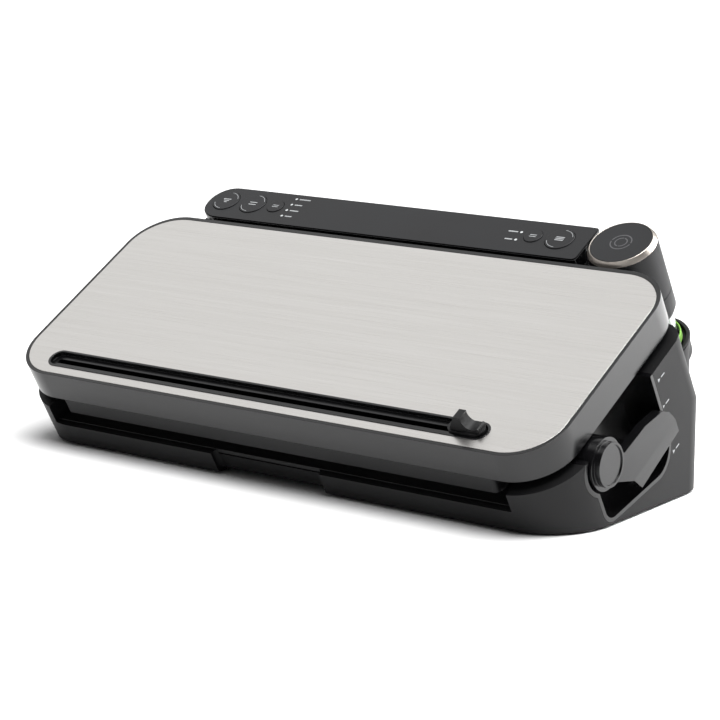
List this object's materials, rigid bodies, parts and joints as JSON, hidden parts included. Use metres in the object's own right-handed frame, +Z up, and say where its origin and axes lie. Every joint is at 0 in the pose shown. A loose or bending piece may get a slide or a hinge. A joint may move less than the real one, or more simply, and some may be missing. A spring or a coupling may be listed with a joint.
{
  "type": "vacuum sealer",
  "caption": "Countertop vacuum sealer with a sloping hinged steel-faced lid, a sliding bag cutter, a side latch lever, a rear control strip and a docked handheld wand.",
  "frame": {"origin": "on the table plane under the middle of the whole object's box", "axes": "+X to the object's right seen from the front, +Y to the back where the lid is hinged, +Z up"},
  "size_m": [0.4152, 0.232, 0.1521],
  "materials": {
    "black_body": "satin black moulded ABS, fine texture",
    "black_lid": "semi-gloss black moulded ABS",
    "deck_black": "satin dark moulded plastic",
    "panel_film": "dark grey satin printed film",
    "steel": "long-grain brushed stainless steel",
    "bright_steel": "turned and plated steel",
    "ring_metal": "warm satin chrome",
    "rubber_black": "moulded rubber",
    "gasket_foam": "closed-cell foam gasket",
    "green_seal": "green silicone seal",
    "clear_plastic": "clear moulded plastic",
    "lens_white": "frosted light pipe",
    "board_green": "solder-masked circuit board",
    "copper": "wound copper and laminated core",
    "heat_tape": "glass-cloth tape over heating wire",
    "hose_grey": "flexible PVC hose"
  },
  "bodies": {
    "base": {"lower_housing": "black_body", "base_plate": "deck_black", "rubber_feet": "rubber_black", "base_screws": "bright_steel", "top_deck": "deck_black", "drip_tray": "deck_black", "lower_gasket": "gasket_foam", "seal_bar": "rubber_black", "heating_strip": "heat_tape", "hinge_brackets": "deck_black", "hinge_pins": "bright_steel", "pump_head": "deck_black", "pump_motor": "bright_steel", "vacuum_hose": "hose_grey", "power_board": "board_green", "transformer": "copper", "control_board": "board_green", "tact_switches": "deck_black", "rear_cover": "black_body", "rear_cover_screws": "bright_steel", "power_inlet": "deck_black", "panel_housing": "black_lid", "panel_overlay": "panel_film", "indicator_lenses": "lens_white", "latch_pocket": "black_lid", "wand_dock": "deck_black"},
    "pump_rotor": {"pump_shaft": "bright_steel"},
    "lid": {"lid_frame": "black_lid", "steel_panel": "steel", "lid_inner_panel": "deck_black", "lid_screws": "bright_steel", "upper_gasket": "gasket_foam", "pressure_bar": "rubber_black", "latch_striker": "bright_steel", "cutter_rail": "black_lid"},
    "cutter": {"cutter_knob": "deck_black", "cutter_carriage": "deck_black", "cutter_blade": "bright_steel"},
    "latch": {"latch_lever": "black_lid", "latch_shaft": "bright_steel"},
    "wand": {"wand_cap": "panel_film", "wand_ring": "ring_metal", "wand_upper_body": "black_lid", "wand_lower_body": "black_lid", "wand_pump": "deck_black", "wand_reservoir": "clear_plastic", "wand_seal": "green_seal", "wand_nozzle": "rubber_black"},
    "vacuum_button_key": {"vacuum_button": "panel_film"},
    "seal_button_key": {"seal_button": "panel_film"},
    "food_mode_button_key": {"food_mode_button": "panel_film"},
    "wand_mode_button_key": {"wand_mode_button": "panel_film"},
    "wand_button_key": {"wand_button": "panel_film"}
  },
  "joints": [
    {"name": "lid_hinge", "type": "hinge", "parent": "base", "child": "lid", "pos_m": [-0.0054, 0.02853, 0.12109], "axis": [-1, 0, 0], "range_deg": [0, 62]},
    {"name": "cutter_slide", "type": "slide", "parent": "lid", "child": "cutter", "axis": [-1, 0, 0], "range_m": [0, 0.285]},
    {"name": "latch_pivot", "type": "hinge", "parent": "base", "child": "latch", "pos_m": [-0.0054, -0.05858, 0.03849], "axis": [1, 0, 0], "range_deg": [-15, 15]},
    {"name": "wand_lift", "type": "slide", "parent": "base", "child": "wand", "axis": [0, -0.4924, 0.8704], "range_m": [0, 0.1]},
    {"name": "pump_spin", "type": "hinge", "parent": "base", "child": "pump_rotor", "pos_m": [0, 0.02273, 0.02769], "axis": [1, 0, 0], "continuous": true},
    {"name": "vacuum_button_press", "type": "slide", "parent": "base", "child": "vacuum_button_key", "axis": [0, 0.4924, -0.8704], "range_m": [0, 0.001], "stiffness_N_per_m": 300, "springref_m": -0.0006},
    {"name": "seal_button_press", "type": "slide", "parent": "base", "child": "seal_button_key", "axis": [0, 0.4924, -0.8704], "range_m": [0, 0.001], "stiffness_N_per_m": 300, "springref_m": -0.0006},
    {"name": "food_mode_button_press", "type": "slide", "parent": "base", "child": "food_mode_button_key", "axis": [0, 0.4924, -0.8704], "range_m": [0, 0.001], "stiffness_N_per_m": 300, "springref_m": -0.0006},
    {"name": "wand_mode_button_press", "type": "slide", "parent": "base", "child": "wand_mode_button_key", "axis": [0, 0.4924, -0.8704], "range_m": [0, 0.001], "stiffness_N_per_m": 300, "springref_m": -0.0006},
    {"name": "wand_button_press", "type": "slide", "parent": "base", "child": "wand_button_key", "axis": [0, 0.4924, -0.8704], "range_m": [0, 0.001], "stiffness_N_per_m": 300, "springref_m": -0.0006}
  ]
}
